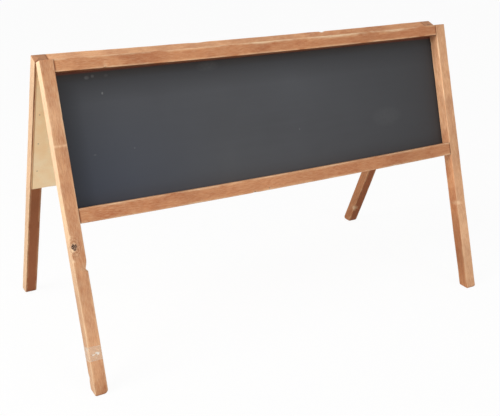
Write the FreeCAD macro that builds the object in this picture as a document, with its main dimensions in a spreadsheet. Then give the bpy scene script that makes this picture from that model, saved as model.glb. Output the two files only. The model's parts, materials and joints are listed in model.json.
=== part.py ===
"""A wooden sandwich board: two long, low blackboard frames hinged along their top edges.

Each frame is drawn upright in coordinates of its own and leant over by its Placement:
X runs along the hinge pins, Z up the stiles, and -Y outwards, away from the other frame.
The origin of those coordinates is the hinge axis, and all lengths are millimetres.
The frames open until the top edges of their boards meet, which is the stop.
"""
import FreeCAD, Part
import os
import Sketcher
from FreeCAD import Vector

doc = FreeCAD.newDocument("sandwich_board")
sheet = doc.addObject("Spreadsheet::Sheet", "Sizes")

# The driving sizes: alias, value, what it measures.
SIZES = [
    ("overall_width", 1220, "over both stiles"),
    ("leg_length", 777, "inner edge of a stile, square top to floor"),
    ("lean_angle", 20, "each frame from upright, in degrees"),
    ("stile_width", 33, "face of a stile"),
    ("timber_depth", 30, "front to back of every stile and rail"),
    ("top_rail_face", 29, "height of the top rail"),
    ("bottom_rail_face", 35, "height of the bottom rail"),
    ("frame_drop", 380, "frame's top to the bottom rail's lower edge"),
    ("arris_round", 1.5, "softened edges of the timber"),
    ("foot_heel_round", 5, "inner bottom corner of a foot"),
    ("foot_toe_round", 4, "outer bottom corner of a foot"),
    ("board_thickness", 4, "fibreboard sheet"),
    ("board_side_inset", 3, "board's edge inside the stile's outer face"),
    ("board_foot_inset", 1, "board's edge above the bottom rail's lower edge"),
    ("stop_gap", 0.4, "between the boards' top edges when standing open"),
    ("wood_clearance", 0.05, "dowels, nails and screws in their holes, radial"),
    ("dowel_radius", 4, "joint dowels"),
    ("dowel_reach", 20, "length of a dowel to each side of its joint"),
    ("dowel_pitch", 14, "between the two dowels of one joint"),
    ("dowel_end_gap", 1, "bottom of a dowel hole past the dowel"),
    ("nail_radius", 0.8, "shank of a panel pin"),
    ("nail_head_radius", 1.8, "head of a panel pin"),
    ("nail_head_depth", 0.8, "head of a panel pin, let into the board"),
    ("nail_length", 18, "panel pin"),
    ("nail_end_margin", 60, "top and bottom nails of a stile from the frame's ends"),
    ("nail_hinge_gap", 20, "outer nail of a rail from the end of the hinge"),
    ("hinge_inset", 150, "centre of an outer hinge from the stile's outer face"),
    ("leaf_length", 65, "hinge leaf, along the pin"),
    ("leaf_reach", 20, "hinge leaf, down from the hinge axis"),
    ("leaf_thickness", 1.5, "hinge leaf"),
    ("knuckle_radius", 3, "outside of a knuckle"),
    ("knuckle_clearance", 0.3, "knuckle to the board behind it"),
    ("knuckle_relief", 1, "leaf plate below the other leaf's knuckles"),
    ("knuckle_gap", 0.3, "between neighbouring knuckles"),
    ("hinge_pin_radius", 1.4, "hinge pin"),
    ("hinge_pin_head", 2.2, "radius of the pin's closed heads"),
    ("hinge_pin_head_depth", 1, "thickness of the pin's closed heads"),
    ("running_clearance", 0.05, "hinge pin in its knuckles, radial"),
    ("screw_radius", 1.5, "shank of a hinge screw"),
    ("screw_head_radius", 2.9, "flat top of a hinge screw's head"),
    ("screw_length", 16, "hinge screw"),
    ("screw_pitch", 22, "between neighbouring screws of one leaf"),
    ("screw_drop", 12, "hinge screws below the hinge axis"),
    ("tape_width", 36, "band of tape round one leg"),
    ("tape_thickness", 0.25, "band of tape"),
    ("tape_rise", 74, "lower edge of the tape above the foot, along the leg"),
]
for row, (alias, value, note) in enumerate(SIZES, start=1):
    sheet.set(f"A{row}", alias)
    sheet.set(f"B{row}", str(value))
    sheet.set(f"C{row}", note)
    sheet.setAlias(f"B{row}", alias)
doc.recompute()
ALIASES = {alias for alias, value, note in SIZES}

# How many of each there are.
KNUCKLES = 5
LEAF_SCREWS = 3
STILE_NAILS = 4

# Places that several pieces share, in a frame's own coordinates.
SEAT = "(-knuckle_radius - knuckle_clearance)"  # the board's inner face, where leaves sit
BACK = f"({SEAT} - board_thickness)"  # inner face of the timber
MIDDLE = f"({BACK} - timber_depth / 2)"
FACE = f"({BACK} - timber_depth)"  # outer face of the timber
TOP = f"((-{SEAT} * cos(lean_angle) - stop_gap / 2) / sin(lean_angle))"
FRAME_FOOT = f"({TOP} - frame_drop)"
TOP_RAIL_MIDDLE = f"({TOP} - top_rail_face / 2)"
BOTTOM_RAIL_MIDDLE = f"({FRAME_FOOT} + bottom_rail_face / 2)"
HALF = "(overall_width / 2)"
BAY = f"({HALF} - stile_width)"  # half the clear width between the stiles
STILE_MIDDLE = f"({HALF} - stile_width / 2)"
HINGE_X = f"({HALF} - hinge_inset)"
AXIS_HEIGHT = f"((leg_length - {TOP}) * cos(lean_angle) + {BACK} * sin(lean_angle))"
KNUCKLE = f"((leaf_length - {KNUCKLES - 1} * knuckle_gap) / {KNUCKLES})"

FRAMES = {"front": 1, "rear": -1}  # which way a frame's own X runs along the object's X
HINGES = {"left": f"-{HINGE_X}", "middle": "0", "right": HINGE_X}


def bound(expression):
    """The expression with each alias read from the sheet."""
    words = []
    word = ""
    for letter in str(expression) + " ":
        if letter.isalnum() or letter == "_":
            word += letter
            continue
        words.append(f"Sizes.{word}" if word in ALIASES else word)
        words.append(letter)
        word = ""
    return "".join(words).strip()


def amount(expression):
    """What the expression comes to, as a plain number."""
    value = sheet.evalExpression(bound(expression))
    return float(getattr(value, "Value", value))


def new_body(label, frame):
    """An empty body that leans with its frame."""
    body = doc.addObject("PartDesign::Body", label)
    body.AllowCompound = True
    turn = "rotation(vector(1; 0; 0); -lean_angle)"
    if FRAMES[frame] < 0:
        turn = f"rotation(vector(0; 0; 1); 180) * {turn}"
    body.setExpression("Placement", bound(f"placement(vector(0; 0; {AXIS_HEIGHT}); {turn})"))
    return body


def new_sketch(body, role, along):
    """A sketch on one of the body's origin planes, moved along the plane's normal."""
    sketch = body.newObject("Sketcher::SketchObject", f"{body.Name}_sketch")
    origin_plane = next(item for item in body.Origin.OriginFeatures if item.Role == role)
    sketch.AttachmentSupport = [(origin_plane, "")]
    sketch.MapMode = "FlatFace"
    sketch.setExpression("AttachmentOffset.Base.z", bound(along))
    return sketch


def dimension(sketch, kind, *where, size):
    """One driving constraint whose value follows an expression."""
    number = sketch.addConstraint(Sketcher.Constraint(kind, *where, amount(size)))
    sketch.setExpression(f"Constraints[{number}]", bound(size))


def outline(sketch, corners):
    """A closed outline of straight edges, each corner placed by two dimensions."""
    points = [Vector(amount(across), amount(up), 0) for across, up in corners]
    last = len(points) - 1
    for number, point in enumerate(points):
        follower = 0 if number == last else number + 1
        sketch.addGeometry(Part.LineSegment(point, points[follower]), False)
    for number in range(len(points)):
        follower = 0 if number == last else number + 1
        sketch.addConstraint(Sketcher.Constraint("Coincident", number, 2, follower, 1))
    for number, (across, up) in enumerate(corners):
        dimension(sketch, "DistanceX", -1, 1, number, 1, size=across)
        dimension(sketch, "DistanceY", -1, 1, number, 1, size=up)


def circles(sketch, centres, radius):
    """Equal circles, each centre placed by two dimensions."""
    for across, up in centres:
        middle = Vector(amount(across), amount(up), 0)
        number = sketch.addGeometry(Part.Circle(middle, Vector(0, 0, 1), amount(radius)), False)
        dimension(sketch, "DistanceX", -1, 1, number, 3, size=across)
        dimension(sketch, "DistanceY", -1, 1, number, 3, size=up)
        dimension(sketch, "Radius", number, size=radius)


def pad(body, sketch, length, slope=None):
    """Adds the sketch, drawn out along its plane's normal."""
    made = body.newObject("PartDesign::Pad", f"{body.Name}_pad")
    made.Profile = sketch
    made.setExpression("Length", bound(length))
    if slope:
        made.TaperAngle = slope
    return made


def cut(body, sketch, length, slope=None):
    """Takes away what a pad of the same sketch would add, and makes sure that it did."""
    doc.recompute()
    before = body.Tip.Shape.Volume
    made = body.newObject("PartDesign::Pocket", f"{body.Name}_cut")
    made.Profile = sketch
    made.Reversed = True
    made.setExpression("Length", bound(length))
    if slope:
        made.TaperAngle = slope
    doc.recompute()
    if made.Shape.Volume > before - 0.5:
        raise ValueError(f"a cut in {body.Name} takes nothing away")
    return made


def block(body, across, up, start, length):
    """A straight piece along X from its section across Y and up Z."""
    section = new_sketch(body, "YZ_Plane", start)
    left, right = across
    low, high = up
    outline(section, [(left, low), (right, low), (right, high), (left, high)])
    return pad(body, section, length)


def round_edges(body, radius, wanted):
    """Rounds the edges that the test picks on the body as it is so far."""
    doc.recompute()
    last = body.Tip
    picked = [f"Edge{n}" for n, edge in enumerate(last.Shape.Edges, start=1) if wanted(edge)]
    made = body.newObject("PartDesign::Fillet", f"{body.Name}_rounds")
    made.Base = (last, picked)
    made.setExpression("Radius", bound(radius))
    return made


def runs_along_x(edge):
    return abs(edge.tangentAt(edge.FirstParameter).x) > 0.99


def runs_down(edge):
    return abs(edge.tangentAt(edge.FirstParameter).z) > 0.99


# Fasteners and their holes run straight out from the board's inner face, along -Y.

def from_seat(body, depth="0"):
    """A sketch plane facing outwards, the given depth inside the board's inner face."""
    return new_sketch(body, "XZ_Plane", f"-{SEAT} + ({depth})")


def rail_nail_places(height):
    """Nails of one rail, clear of the hinges: outside the outer ones and between them all."""
    outer = f"({HINGE_X} + leaf_length / 2 + nail_hinge_gap)"
    steps = [f"-{outer}", f"-2 * {HINGE_X} / 3", f"-{HINGE_X} / 3"]
    steps += [f"{HINGE_X} / 3", f"2 * {HINGE_X} / 3", outer]
    return [(step, height) for step in steps]


def stile_nail_places(side):
    """Nails of one stile, between its two joints."""
    pitch = f"((frame_drop - 2 * nail_end_margin) / {STILE_NAILS - 1})"
    heights = [f"({TOP} - nail_end_margin - {step} * {pitch})" for step in range(STILE_NAILS)]
    return [(f"{side} * {STILE_MIDDLE}", height) for height in heights]


def all_nail_places():
    rails = rail_nail_places(TOP_RAIL_MIDDLE) + rail_nail_places(BOTTOM_RAIL_MIDDLE)
    return rails + stile_nail_places(-1) + stile_nail_places(1)


def screw_places(centre):
    """Screws of one hinge leaf, in a line below the pin."""
    offsets = [step - (LEAF_SCREWS - 1) / 2 for step in range(LEAF_SCREWS)]
    return [(f"{centre} + {offset} * screw_pitch", "-screw_drop") for offset in offsets]


def all_screw_places():
    return [place for centre in HINGES.values() for place in screw_places(centre)]


def nail_holes(body, places):
    """Holes for nail shanks, as deep as the nails reach."""
    sketch = from_seat(body)
    circles(sketch, places, "nail_radius + wood_clearance")
    cut(body, sketch, "nail_length + wood_clearance")


def screw_holes(body, places):
    """Holes for hinge screws, which start on the board under the leaf."""
    sketch = from_seat(body)
    circles(sketch, places, "screw_radius + wood_clearance")
    cut(body, sketch, "screw_length - leaf_thickness + wood_clearance")


def dowel_places(rail_middle):
    return [(MIDDLE, f"{rail_middle} + {side} * dowel_pitch / 2") for side in (-1, 1)]


def dowel_holes(body, rail_middle, side):
    """Two holes that run through one joint, from the rail into the stile."""
    reach = "(dowel_reach + dowel_end_gap)"
    sketch = new_sketch(body, "YZ_Plane", f"{side} * {BAY} - {reach}")
    circles(sketch, dowel_places(rail_middle), "dowel_radius + wood_clearance")
    cut(body, sketch, f"2 * {reach}")


def stile(label, frame, side):
    """An upright that is also a leg, its foot cut to lie flat on the floor."""
    body = new_body(label, frame)
    floor = "((({0}) * sin(lean_angle) - {1}) / cos(lean_angle))"
    toe = (FACE, floor.format(FACE, AXIS_HEIGHT))
    heel = (BACK, floor.format(BACK, AXIS_HEIGHT))
    profile = new_sketch(body, "YZ_Plane", BAY if side > 0 else f"-{HALF}")
    outline(profile, [toe, heel, (BACK, TOP), (FACE, TOP)])
    pad(body, profile, "stile_width")

    def ends_at(corner):
        corner_y, corner_z = amount(corner[0]), amount(corner[1])

        def test(edge):
            middle = edge.CenterOfMass
            return runs_along_x(edge) and abs(middle.y - corner_y) + abs(middle.z - corner_z) < 0.1

        return test

    round_edges(body, "foot_heel_round", ends_at(heel))
    round_edges(body, "foot_toe_round", ends_at(toe))
    round_edges(body, "arris_round", runs_down)
    dowel_holes(body, TOP_RAIL_MIDDLE, side)
    dowel_holes(body, BOTTOM_RAIL_MIDDLE, side)
    nail_holes(body, stile_nail_places(side))
    return body


def rail(label, frame, top, face, middle, holds_hinges):
    """A rail butted between the stiles, flush with them front and back."""
    body = new_body(label, frame)
    block(body, (FACE, BACK), (f"{top} - {face}", top), f"-{BAY}", f"2 * {BAY}")
    round_edges(body, "arris_round", runs_along_x)
    dowel_holes(body, middle, -1)
    dowel_holes(body, middle, 1)
    nail_holes(body, rail_nail_places(middle))
    if holds_hinges:
        screw_holes(body, all_screw_places())
    return body


def board(label, frame):
    """The sheet behind each frame, painted on its outer face."""
    body = new_body(label, frame)
    half = f"({HALF} - board_side_inset)"
    block(body, (BACK, SEAT), (f"{FRAME_FOOT} + board_foot_inset", TOP), f"-{half}", f"2 * {half}")
    nail_holes(body, all_nail_places())
    recesses = from_seat(body)
    circles(recesses, all_nail_places(), "nail_head_radius + wood_clearance")
    cut(body, recesses, "nail_head_depth")
    screw_holes(body, all_screw_places())
    return body


def nails(label, frame):
    """Panel pins, driven outwards through the board into the timber."""
    body = new_body(label, frame)
    shanks = from_seat(body)
    circles(shanks, all_nail_places(), "nail_radius")
    pad(body, shanks, "nail_length")
    heads = from_seat(body)
    circles(heads, all_nail_places(), "nail_head_radius")
    pad(body, heads, "nail_head_depth")
    return body


def dowels(label, frame, rail_middle):
    """Four dowels that hold one rail, half their length in the stiles."""
    body = new_body(label, frame)
    for side in (-1, 1):
        sketch = new_sketch(body, "YZ_Plane", f"{side} * {BAY} - dowel_reach")
        circles(sketch, dowel_places(rail_middle), "dowel_radius")
        pad(body, sketch, "2 * dowel_reach")
    return body


def knuckle_start(number, centre):
    return f"{centre} - leaf_length / 2 + {number} * ({KNUCKLE} + knuckle_gap)"


def leaf(label, frame, centre):
    """One leaf of a butt hinge, whose knuckles stand between the other leaf's."""
    body = new_body(label, frame)
    front_of_leaf = f"({SEAT} + leaf_thickness)"
    shoulder = "(-knuckle_radius - knuckle_relief)"
    start = f"{centre} - leaf_length / 2"
    block(body, (SEAT, front_of_leaf), ("-leaf_reach", shoulder), start, "leaf_length")
    first = 0 if FRAMES[frame] > 0 else 1
    for number in range(first, KNUCKLES, 2):
        begins = knuckle_start(number, centre)
        block(body, (SEAT, front_of_leaf), (shoulder, "0"), begins, KNUCKLE)
        barrel = new_sketch(body, "YZ_Plane", begins)
        circles(barrel, [("0", "0")], "knuckle_radius")
        pad(body, barrel, KNUCKLE)
    bore = new_sketch(body, "YZ_Plane", start)
    circles(bore, [("0", "0")], "hinge_pin_radius + running_clearance")
    cut(body, bore, "leaf_length")
    through = from_seat(body, "-leaf_thickness")
    circles(through, screw_places(centre), "screw_radius + wood_clearance")
    cut(body, through, "leaf_thickness")
    countersinks = from_seat(body, "-leaf_thickness")
    circles(countersinks, screw_places(centre), "screw_head_radius + wood_clearance")
    cut(body, countersinks, "screw_head_radius - screw_radius", -45)
    return body


def hinge_pin(label, frame, centre):
    """The pin of one hinge, closed over at both ends."""
    body = new_body(label, frame)
    reach = "(leaf_length / 2 + knuckle_gap)"
    shank = new_sketch(body, "YZ_Plane", f"{centre} - {reach}")
    circles(shank, [("0", "0")], "hinge_pin_radius")
    pad(body, shank, f"2 * {reach}")
    for begins in (f"{centre} - {reach} - hinge_pin_head_depth", f"{centre} + {reach}"):
        head = new_sketch(body, "YZ_Plane", begins)
        circles(head, [("0", "0")], "hinge_pin_head")
        pad(body, head, "hinge_pin_head_depth")
    return body


def hinge_screws(label, frame):
    """Countersunk screws through a frame's leaves and board into its top rail."""
    body = new_body(label, frame)
    shanks = from_seat(body, "-leaf_thickness")
    circles(shanks, all_screw_places(), "screw_radius")
    pad(body, shanks, "screw_length")
    heads = from_seat(body, "-leaf_thickness")
    circles(heads, all_screw_places(), "screw_head_radius")
    pad(body, heads, "screw_head_radius - screw_radius", -45)
    return body


def tape(label, frame, side):
    """A band of tape wrapped round one leg above its foot."""
    body = new_body(label, frame)
    low = f"({TOP} - leg_length + tape_rise)"
    start = BAY if side > 0 else f"-{HALF}"
    section = f"({start} - tape_thickness)"
    wide = "(stile_width + 2 * tape_thickness)"
    around = (f"{FACE} - tape_thickness", f"{BACK} + tape_thickness")
    block(body, around, (low, f"{low} + tape_width"), section, wide)
    round_edges(body, "arris_round + tape_thickness", runs_down)
    hollow = new_sketch(body, "XY_Plane", low)
    rounded_rectangle(hollow, start, f"({start} + stile_width)", FACE, BACK, "arris_round")
    cut(body, hollow, "tape_width")
    return body


def rounded_rectangle(sketch, left, right, low, high, radius):
    """A closed outline of four lines and four quarter arcs, placed by its arc centres."""
    sizes = [amount(value) for value in (left, right, low, high, radius)]
    x0, x1, y0, y1, r = sizes
    centres = [(x1 - r, y1 - r), (x0 + r, y1 - r), (x0 + r, y0 + r), (x1 - r, y0 + r)]
    words = [(f"{right} - {radius}", f"{high} - {radius}"), (f"{left} + {radius}", f"{high} - {radius}")]
    words += [(f"{left} + {radius}", f"{low} + {radius}"), (f"{right} - {radius}", f"{low} + {radius}")]
    quarter = FreeCAD.Units.Quantity("90 deg").getValueAs("rad").Value
    arcs = []
    for number, (x, y) in enumerate(centres):
        round_corner = Part.Circle(Vector(x, y, 0), Vector(0, 0, 1), r)
        begins = number * quarter
        arcs.append(Part.ArcOfCircle(round_corner, begins, begins + quarter))
        sketch.addGeometry(arcs[-1], False)
    for number, arc in enumerate(arcs):
        follower = (number + 1) % len(arcs)
        line = Part.LineSegment(arc.EndPoint, arcs[follower].StartPoint)
        side = sketch.addGeometry(line, False)
        sketch.addConstraint(Sketcher.Constraint("Tangent", number, 2, side, 1))
        sketch.addConstraint(Sketcher.Constraint("Tangent", side, 2, follower, 1))
    for number, (across, up) in enumerate(words):
        dimension(sketch, "DistanceX", -1, 1, number, 3, size=across)
        dimension(sketch, "DistanceY", -1, 1, number, 3, size=up)
    dimension(sketch, "Radius", 0, size=radius)


def build_frame(frame):
    """Every wooden piece of one frame and what holds it together. Left is -X."""
    for name, side in (("left", -1), ("right", 1)):
        stile(f"{frame}_{name}_stile", frame, side * FRAMES[frame])
    rail(f"{frame}_top_rail", frame, TOP, "top_rail_face", TOP_RAIL_MIDDLE, True)
    bottom_top = f"({FRAME_FOOT} + bottom_rail_face)"
    rail(f"{frame}_bottom_rail", frame, bottom_top, "bottom_rail_face", BOTTOM_RAIL_MIDDLE, False)
    board(f"{frame}_board", frame)
    nails(f"{frame}_board_nails", frame)
    dowels(f"{frame}_top_dowels", frame, TOP_RAIL_MIDDLE)
    dowels(f"{frame}_bottom_dowels", frame, BOTTOM_RAIL_MIDDLE)
    hinge_screws(f"{frame}_hinge_screws", frame)


def build_hinges():
    for name, centre in HINGES.items():
        for frame, hand in FRAMES.items():
            leaf(f"{name}_hinge_{frame}_leaf", frame, f"{hand} * ({centre})")
        hinge_pin(f"{name}_hinge_pin", "front", centre)


for frame_name in FRAMES:
    build_frame(frame_name)
build_hinges()
tape("leg_tape", "front", -1)
doc.recompute()

pieces = [item for item in doc.Objects if item.TypeId == "PartDesign::Body"]
faults = [item.Label for item in doc.Objects if {"Invalid", "Error"} & set(item.State)]
faults += [piece.Label for piece in pieces if piece.Shape.isNull() or not piece.Shape.isValid()]
if faults:
    raise ValueError(f"these did not come out: {faults}")
os.makedirs("parts", exist_ok=True)
for piece in pieces:
    piece.Shape.exportStep(f"parts/{piece.Label}.step")
    print(piece.Label, len(piece.Shape.Solids), round(piece.Shape.Volume, 1))
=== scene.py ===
# %% [markdown]
# # A sandwich board in Blender
#
# Two long, low blackboard frames lean on each other and are hinged along their top edges.
# The imported model holds every piece at its real size, so this lesson adds the surfaces:
# worn, stained timber, dull blackboard paint, raw fibreboard, zinc and tape. We load the
# model first.

# %% Load the frame
import json
import math

import bmesh
import bpy
import numpy as np
from mathutils import Matrix, Vector


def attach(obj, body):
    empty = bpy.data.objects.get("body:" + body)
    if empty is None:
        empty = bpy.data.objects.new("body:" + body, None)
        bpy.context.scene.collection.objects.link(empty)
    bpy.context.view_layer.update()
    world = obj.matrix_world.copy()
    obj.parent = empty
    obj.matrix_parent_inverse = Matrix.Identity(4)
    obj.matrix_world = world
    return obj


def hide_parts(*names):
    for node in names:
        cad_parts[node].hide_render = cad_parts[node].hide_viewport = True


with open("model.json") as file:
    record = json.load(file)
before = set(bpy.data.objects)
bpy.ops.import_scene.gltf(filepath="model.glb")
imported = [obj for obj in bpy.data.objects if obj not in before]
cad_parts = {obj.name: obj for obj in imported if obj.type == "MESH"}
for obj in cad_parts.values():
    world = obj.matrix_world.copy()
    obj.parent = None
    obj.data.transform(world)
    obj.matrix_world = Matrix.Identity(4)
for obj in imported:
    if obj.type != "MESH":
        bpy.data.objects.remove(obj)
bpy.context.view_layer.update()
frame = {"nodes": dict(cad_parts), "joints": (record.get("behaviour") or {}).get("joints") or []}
print("pieces in the packed model:", len(frame["nodes"]))

# %% [markdown]
# ## The camera
#
# The camera stands to the left, a little above the top rails, and looks down at the long
# front frame. It is placed by its position and three turns: how far it looks to the right,
# how far down, and how far it is rolled. A small lens shift puts the frame where we want it
# in the picture without turning the camera.

# %% Camera
CAMERA_PLACE = Vector((-1.1156, -1.7473, 1.1066))
LOOK_RIGHT, LOOK_DOWN, ROLL = 0.493, 0.406, 0.012
LENS_MM, SENSOR_MM = 56.1, 36.0
SHIFT_X, SHIFT_Y = 0.1003, 0.0239


def camera_turn(right_turn, down_turn, roll):
    """The camera's turn: it looks along its own -Z, with its own X to the right."""
    level_part = math.cos(down_turn)
    ahead = Vector((math.sin(right_turn) * level_part,
                    math.cos(right_turn) * level_part,
                    -math.sin(down_turn)))
    level = Vector((math.cos(right_turn), -math.sin(right_turn), 0.0))
    above = level.cross(ahead)
    own_x = level * math.cos(roll) + above * math.sin(roll)
    own_y = above * math.cos(roll) - level * math.sin(roll)
    return Matrix((own_x, own_y, -ahead)).transposed()


camera = bpy.data.objects.new("camera", bpy.data.cameras.new("camera"))
bpy.context.scene.collection.objects.link(camera)
camera.data.sensor_width, camera.data.lens = SENSOR_MM, LENS_MM
camera.data.shift_x, camera.data.shift_y = SHIFT_X, SHIFT_Y
turn = camera_turn(LOOK_RIGHT, LOOK_DOWN, ROLL)
camera.matrix_world = Matrix.Translation(CAMERA_PLACE) @ turn.to_4x4()
bpy.context.scene.camera = camera
print("camera is", round(CAMERA_PLACE.length, 2), "m from the middle of the feet")

# %% [markdown]
# ## Each frame's own coordinates
#
# A leaning frame is awkward to model, so we work as a joiner does, with the frame upright on
# the bench: x along the hinges, z up the stiles, and y through the timber, negative on the
# outside. The hinge line is the origin. The two frames fold flat from rest, so half of that
# range is how far each one leans. `stand` leans points into place, and `lay` takes them back.

# %% Upright coordinates
fold = frame["joints"][0]
AXIS_HEIGHT = fold["pos_m"][2]
LEAN = math.radians(fold["range_deg"][1]) / 2
HAND = {"front": 1, "rear": -1}
BODY = {"front": "front_frame", "rear": "rear_frame"}


def stand(points, which):
    """Upright coordinates to the object's own."""
    x, y, z = np.asarray(points, float).T
    hand = HAND[which]
    out = y * math.cos(LEAN) + z * math.sin(LEAN)
    up = -y * math.sin(LEAN) + z * math.cos(LEAN) + AXIS_HEIGHT
    return np.stack([hand * x, hand * out, up], axis=1)


def lay(points, which):
    """The object's coordinates back to a frame's upright ones."""
    x, y, z = np.asarray(points, float).T
    hand = HAND[which]
    out, up = hand * y, z - AXIS_HEIGHT
    return np.stack([hand * x, out * math.cos(LEAN) - up * math.sin(LEAN),
                     out * math.sin(LEAN) + up * math.cos(LEAN)], axis=1)


def node_points(node, which):
    return lay([vertex.co for vertex in frame["nodes"][node].data.vertices], which)


def upright_box(node, which):
    """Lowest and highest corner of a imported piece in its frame's upright coordinates."""
    points = node_points(node, which)
    return points.min(0), points.max(0)


print("lean", round(math.degrees(LEAN), 1), "degrees; hinge line at", round(AXIS_HEIGHT, 4), "m")

# %% [markdown]
# ## Helpers for shader nodes
#
# A material is a small network. `Shader` makes one and keeps the wiring short: `add` makes a
# node and sets its inputs, where a value may be a number, a colour or another node's output.
# Colours are written as they look on a screen. Shaders work in linear light, so `colour`
# turns one into the other.

# %% Shader helper
class Shader:
    """A material with a Principled shader, and short ways to wire nodes to it."""

    def __init__(self, name, **sockets):
        self.material = bpy.data.materials.new(name)
        self.material.use_nodes = True
        self.tree = self.material.node_tree
        self.surface = next(n for n in self.tree.nodes if n.type == "BSDF_PRINCIPLED")
        self.output = next(n for n in self.tree.nodes if n.type == "OUTPUT_MATERIAL")
        for socket, value in sockets.items():
            self.surface.inputs[socket.replace("_", " ")].default_value = value

    def feed(self, socket, value):
        if isinstance(value, bpy.types.NodeSocket):
            self.tree.links.new(value, socket)
        else:
            socket.default_value = value

    def add(self, kind, *values, out=0, **settings):
        node = self.tree.nodes.new("ShaderNode" + kind)
        for name, value in settings.items():
            setattr(node, name, value)
        for socket, value in zip(node.inputs, values):
            if value is not None:
                self.feed(socket, value)
        return node.outputs[out]

    def maths(self, operation, *values, clamp=False):
        return self.add("Math", *values, operation=operation, use_clamp=clamp)

    def times(self, first, second, clamp=False):
        return self.maths("MULTIPLY", first, second, clamp=clamp)

    def attribute(self, name, out="Vector"):
        node = self.tree.nodes.new("ShaderNodeAttribute")
        node.attribute_name = name
        return node.outputs[out]

    def own_place(self):
        """The place in the piece's own coordinates."""
        return self.tree.nodes.new("ShaderNodeTexCoord").outputs["Object"]

    def parts(self, vector):
        node = self.tree.nodes.new("ShaderNodeSeparateXYZ")
        self.feed(node.inputs[0], vector)
        return node.outputs

    def stretched(self, vector, scale):
        """The place, multiplied along each of its three directions."""
        return self.add("VectorMath", vector, scale, operation="MULTIPLY")

    def noise(self, vector, scale, detail=3.0, roughness=0.5, distortion=0.0):
        node = self.tree.nodes.new("ShaderNodeTexNoise")
        self.feed(node.inputs["Vector"], vector)
        for name, value in (("Scale", scale), ("Detail", detail), ("Roughness", roughness),
                            ("Distortion", distortion)):
            node.inputs[name].default_value = value
        return node.outputs[0]

    def spread(self, value, low, high, to_low=0.0, to_high=1.0):
        """A value remapped from one range to another, and held inside it."""
        node = self.tree.nodes.new("ShaderNodeMapRange")
        for socket, number in zip(node.inputs, (value, low, high, to_low, to_high)):
            self.feed(socket, number)
        return node.outputs[0]

    def mix(self, amount, first, second, blend="MIX"):
        node = self.tree.nodes.new("ShaderNodeMix")
        node.data_type, node.blend_type = "RGBA", blend
        for socket, value in zip((node.inputs[0], node.inputs[6], node.inputs[7]),
                                 (amount, first, second)):
            self.feed(socket, value)
        return node.outputs[2]

    def lay_on(self, under, over, value, low, high, to_low=0.0, to_high=1.0):
        """`over` laid on `under`, by an amount that a value gives as `spread` says."""
        return self.mix(self.spread(value, low, high, to_low, to_high), under, over)

    def bump(self, height, strength, distance):
        node = self.tree.nodes.new("ShaderNodeBump")
        self.feed(node.inputs["Height"], height)
        node.inputs["Strength"].default_value = strength
        node.inputs["Distance"].default_value = distance
        self.feed(self.surface.inputs["Normal"], node.outputs[0])

    def finish(self, base, roughness=None):
        self.feed(self.surface.inputs["Base Color"], base)
        if roughness is not None:
            self.feed(self.surface.inputs["Roughness"], roughness)
        return self.material


# %% Colours
def colour(red, green, blue):
    """A colour as it looks on a screen, 0 to 255, as the shader's linear values."""
    values = [channel / 255 for channel in (red, green, blue)]
    linear = [v / 12.92 if v <= 0.04045 else ((v + 0.055) / 1.055) ** 2.4 for v in values]
    return (*linear, 1.0)


print("a middle grey of 128 is", round(colour(128, 128, 128)[0], 3), "in linear light")

# %% [markdown]
# ## Stained softwood
#
# The timber is planed softwood with a thin warm stain. Its grain could be an image, but
# noise stays sharp close up and never repeats. Grain runs along each piece whichever way it
# leans, so the shader doesn't read the object's place. Each mesh carries three attributes
# instead: `grain` is the place in the wood (across, through, along), `marks` says how worn
# it is (below zero, how deep the stain is), how light, and how much end grain shows, and
# `knot` is the way from the nearest knot, in half sizes of it. The part of the lightness and
# of the deep stain that each face gets is painted light and shade: faces towards the lamp are
# lighter and paler, under and inner faces darker. Fine fibres are noise squeezed long, and
# the wide figure is noise stretched less, bent round the knot as real grain is.

# %% Wood colours and patterns
PALE_WOOD, STAIN, DEEP_STAIN_AND_SHADE = colour(239, 206, 168), colour(208, 148, 104), colour(168, 98, 60)
KNOT_DARK, KNOT_GREY, KNOT_BROWN = colour(40, 26, 22), colour(200, 160, 134), colour(142, 88, 58)
END_BROWN = colour(196, 142, 106)

# How often each pattern changes in a metre: across, through and along the grain.
FIGURE, FIBRES, PORES = (40.0, 40.0, 4.5), (700.0, 700.0, 60.0), (1500.0, 1500.0, 260.0)
PATCHES, RAGGED, CRACKS = (30.0, 30.0, 16.0), (210.0, 210.0, 150.0), (300.0, 300.0, 190.0)
GRAIN_PUSH, PUSH_FADE = (0.0, 0.004, 0.03), -0.55  # how a knot pushes the grain, in metres
BANDS_IN_FIGURE, RINGS_IN_KNOT = 46.0, 7.0
KNOT_EDGE = 0.45  # how ragged a knot's outline is, in half sizes
print("in a metre fibres change", FIBRES[0], "times across the grain,", FIBRES[2], "along it")


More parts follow.
